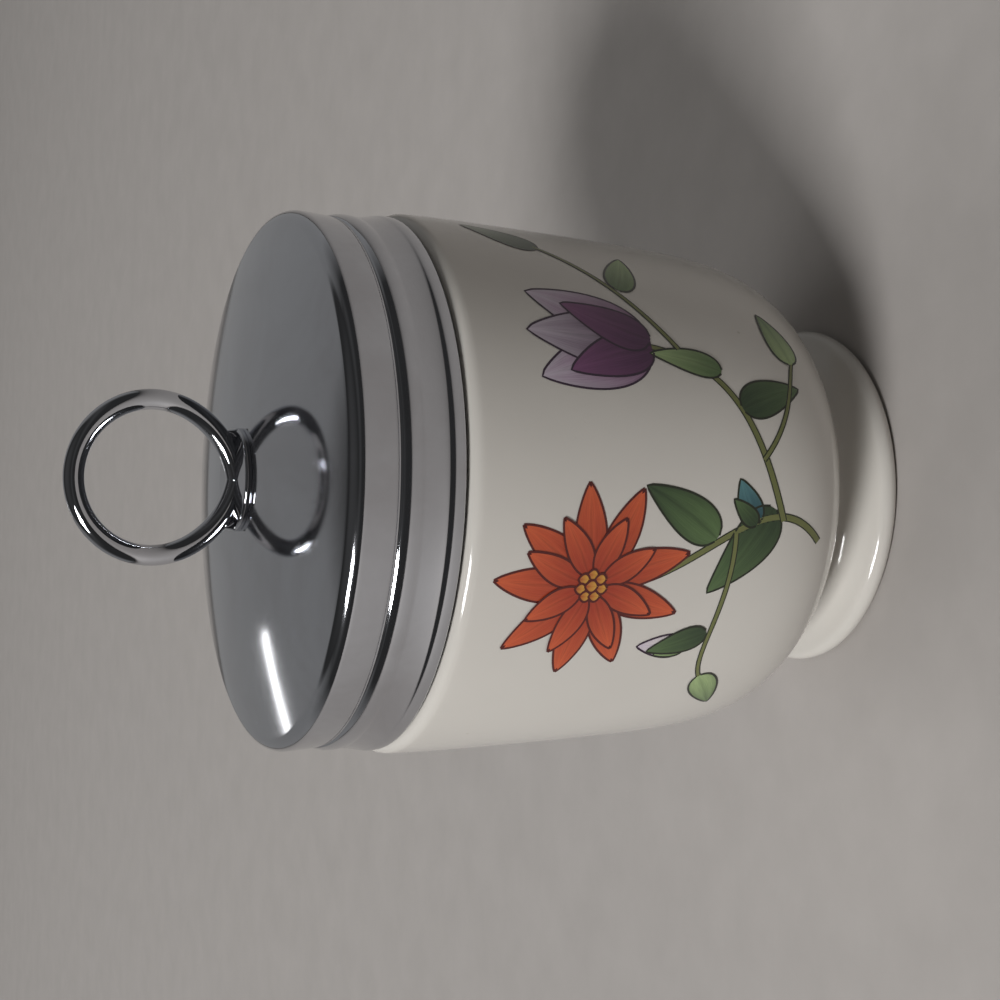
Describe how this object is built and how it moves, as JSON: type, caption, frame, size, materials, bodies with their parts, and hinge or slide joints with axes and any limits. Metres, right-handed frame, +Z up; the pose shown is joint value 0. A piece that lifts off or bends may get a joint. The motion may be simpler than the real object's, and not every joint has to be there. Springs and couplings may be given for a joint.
{
  "type": "egg coddler",
  "caption": "Footed porcelain cup for cooking an egg in hot water, closed by a plated screw lid with an upright lifting ring on its dome.",
  "frame": {"origin": "centre of the foot's standing face", "axes": "+Z up along the cup's axis, +X along the width of the lifting ring"},
  "size_m": [0.064, 0.064, 0.0969],
  "materials": {
    "porcelain": "gloss glaze",
    "plated_shell": "polished",
    "plated_liner": "polished",
    "plated_wire": "polished",
    "plated_base": "polished",
    "washer_metal": "satin"
  },
  "bodies": {
    "cup": {"cup": "porcelain"},
    "lid_carrier": {"rivet_washer": "washer_metal"},
    "lid": {"lid_cap": "plated_shell", "thread_liner": "plated_liner", "handle_ring": "plated_wire", "ring_base": "plated_base"}
  },
  "joints": [
    {"name": "lid_lift", "type": "slide", "parent": "cup", "child": "lid_carrier", "axis": [0, 0, 1], "range_m": [0, 0.02]},
    {"name": "lid_turn", "type": "hinge", "parent": "lid_carrier", "child": "lid", "pos_m": [0, 0, 0.075], "axis": [0, 0, 1], "range_deg": [0, 1800]}
  ],
  "couplings": [
    {"joint": "lid_lift", "follows": "lid_turn", "m_per_rad": 0.00063662}
  ]
}
